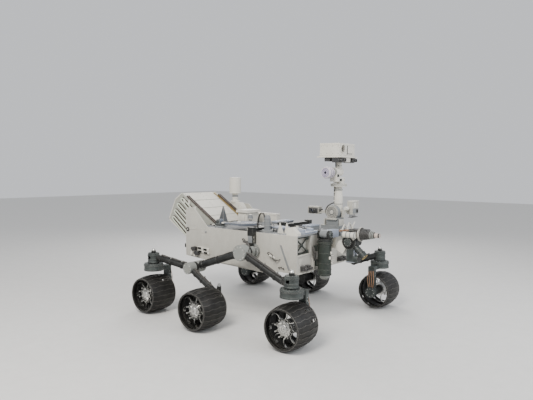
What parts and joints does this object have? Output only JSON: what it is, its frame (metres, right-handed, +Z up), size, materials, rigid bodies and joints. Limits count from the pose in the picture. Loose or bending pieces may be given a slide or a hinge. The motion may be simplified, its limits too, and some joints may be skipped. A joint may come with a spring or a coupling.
{
  "type": "planetary rover",
  "caption": "Planetary rover with rocker-bogie running gear, steered corner wheels, camera mast, folded sampling arm, flat antenna and a finned power source between heat exchanger plates.",
  "frame": {"origin": "on the floor under the middle of the vehicle's length and width", "axes": "+X forwards, +Y to port, +Z up"},
  "size_m": [3.38, 2.9, 2.349],
  "materials": {
    "body_paint": "matte warm grey paint over machined panels",
    "white_paint": "matte white thermal paint",
    "deck_grey": "satin mid grey paint",
    "dark_metal": "satin black anodised titanium",
    "actuator_green": "satin dark grey-green anodised housing",
    "wheel_metal": "satin black anodised aluminium",
    "hub_metal": "bare machined titanium and aluminium",
    "radiator_paint": "matte pale grey radiator paint",
    "case_metal": "matte pale emissive coating on a finned case",
    "camera_black": "satin black camera housing",
    "antenna_grey": "satin dark blue-grey paint",
    "tool_white": "cloth-covered pale grey housing",
    "tube_grey": "satin mid grey tube",
    "box_blue_grey": "satin pale blue-grey box",
    "brace_green": "satin dark green-black rods"
  },
  "bodies": {
    "root": {"chassis_box": "body_paint", "top_deck": "deck_grey", "side_panel_starboard": "body_paint", "side_panel_port": "body_paint", "front_panel": "body_paint", "front_braces": "brace_green", "belly_pan": "body_paint", "power_source": "case_metal", "heat_plate_starboard": "radiator_paint", "heat_plate_port": "radiator_paint", "power_source_cover": "radiator_paint", "uhf_antenna": "white_paint", "port_equipment_box": "white_paint", "deck_instruments": "deck_grey", "deck_shades": "white_paint", "sample_inlets": "antenna_grey", "differential_bar": "dark_metal", "differential_links": "tube_grey", "rocker_starboard": "dark_metal", "rocker_port": "dark_metal", "bogie_starboard": "dark_metal", "bogie_port": "dark_metal", "hazard_cameras": "camera_black", "mast_base": "actuator_green", "mast_base_boxes": "tube_grey", "mast_tube": "white_paint", "antenna_base": "tube_grey", "arm_mount": "brace_green"},
    "antenna_azimuth": {"antenna_yoke": "tube_grey"},
    "antenna": {"high_gain_antenna": "antenna_grey"},
    "steering_front_starboard": {"fork_front_starboard": "actuator_green"},
    "steering_front_port": {"fork_front_port": "actuator_green"},
    "steering_rear_starboard": {"fork_rear_starboard": "actuator_green"},
    "steering_rear_port": {"fork_rear_port": "actuator_green"},
    "wheel_front_starboard": {"rim_front_starboard": "wheel_metal", "hub_front_starboard": "hub_metal"},
    "wheel_front_port": {"rim_front_port": "wheel_metal", "hub_front_port": "hub_metal"},
    "wheel_middle_starboard": {"rim_middle_starboard": "wheel_metal", "hub_middle_starboard": "hub_metal"},
    "wheel_middle_port": {"rim_middle_port": "wheel_metal", "hub_middle_port": "hub_metal"},
    "wheel_rear_starboard": {"rim_rear_starboard": "wheel_metal", "hub_rear_starboard": "hub_metal"},
    "wheel_rear_port": {"rim_rear_port": "wheel_metal", "hub_rear_port": "hub_metal"},
    "shoulder": {"shoulder_yoke": "dark_metal"},
    "upper_arm": {"upper_arm": "tube_grey", "upper_arm_box": "box_blue_grey"},
    "forearm": {"forearm": "actuator_green"},
    "wrist": {"wrist": "actuator_green"},
    "turret": {"turret_hub": "dark_metal", "drill": "camera_black", "sample_handler": "tool_white", "contact_instruments": "actuator_green"},
    "mast_pan": {"mast_pan_unit": "white_paint"},
    "mast_head": {"camera_head": "white_paint", "instrument_box": "white_paint", "mast_cameras": "camera_black"}
  },
  "joints": [
    {"name": "steer_front_starboard", "type": "hinge", "parent": "root", "child": "steering_front_starboard", "pos_m": [1.18, -1.12, 0.254], "axis": [0, 0, 1], "range_deg": [-90, 90]},
    {"name": "steer_front_port", "type": "hinge", "parent": "root", "child": "steering_front_port", "pos_m": [1.18, 1.12, 0.254], "axis": [0, 0, 1], "range_deg": [-90, 90]},
    {"name": "steer_rear_starboard", "type": "hinge", "parent": "root", "child": "steering_rear_starboard", "pos_m": [-1.15, -1.12, 0.254], "axis": [0, 0, 1], "range_deg": [-90, 90]},
    {"name": "steer_rear_port", "type": "hinge", "parent": "root", "child": "steering_rear_port", "pos_m": [-1.15, 1.12, 0.254], "axis": [0, 0, 1], "range_deg": [-90, 90]},
    {"name": "roll_front_starboard", "type": "hinge", "parent": "steering_front_starboard", "child": "wheel_front_starboard", "pos_m": [1.18, -1.12, 0.254], "axis": [0, 1, 0], "continuous": true},
    {"name": "roll_front_port", "type": "hinge", "parent": "steering_front_port", "child": "wheel_front_port", "pos_m": [1.18, 1.12, 0.254], "axis": [0, 1, 0], "continuous": true},
    {"name": "roll_middle_starboard", "type": "hinge", "parent": "root", "child": "wheel_middle_starboard", "pos_m": [-0.07, -1.25, 0.254], "axis": [0, 1, 0], "continuous": true},
    {"name": "roll_middle_port", "type": "hinge", "parent": "root", "child": "wheel_middle_port", "pos_m": [-0.07, 1.25, 0.254], "axis": [0, 1, 0], "continuous": true},
    {"name": "roll_rear_starboard", "type": "hinge", "parent": "steering_rear_starboard", "child": "wheel_rear_starboard", "pos_m": [-1.15, -1.12, 0.254], "axis": [0, 1, 0], "continuous": true},
    {"name": "roll_rear_port", "type": "hinge", "parent": "steering_rear_port", "child": "wheel_rear_port", "pos_m": [-1.15, 1.12, 0.254], "axis": [0, 1, 0], "continuous": true},
    {"name": "antenna_turn", "type": "hinge", "parent": "root", "child": "antenna_azimuth", "pos_m": [-0.49, -0.48, 1.21], "axis": [0, 0, -1], "range_deg": [0, 90]},
    {"name": "antenna_raise", "type": "hinge", "parent": "antenna_azimuth", "child": "antenna", "pos_m": [-0.49, -0.48, 1.255], "axis": [0, -1, 0], "range_deg": [0, 90]},
    {"name": "shoulder_turn", "type": "hinge", "parent": "root", "child": "shoulder", "pos_m": [1.03, -0.18, 1.09], "axis": [0, 0, -1], "range_deg": [0, 110]},
    {"name": "shoulder_lift", "type": "hinge", "parent": "shoulder", "child": "upper_arm", "pos_m": [1.03, -0.18, 1.17], "axis": [1, 0, 0], "range_deg": [0, 35]},
    {"name": "elbow", "type": "hinge", "parent": "upper_arm", "child": "forearm", "pos_m": [1.09, 0.62, 1.12], "axis": [-1, 0, 0], "range_deg": [0, 150]},
    {"name": "wrist_bend", "type": "hinge", "parent": "forearm", "child": "wrist", "pos_m": [1.22, 0.17, 1.062], "axis": [-1, 0, 0], "range_deg": [0, 80]},
    {"name": "turret_turn", "type": "hinge", "parent": "wrist", "child": "turret", "pos_m": [1.3, 0.11, 1.08], "axis": [0, -1, 0], "range_deg": [0, 90]},
    {"name": "mast_turn", "type": "hinge", "parent": "root", "child": "mast_pan", "pos_m": [0.78, 0.59, 1.8], "axis": [0, 0, 1], "range_deg": [-180, 180]},
    {"name": "mast_nod", "type": "hinge", "parent": "mast_pan", "child": "mast_head", "pos_m": [0.78, 0.59, 1.955], "axis": [0, 1, 0], "range_deg": [-85, 85]}
  ]
}
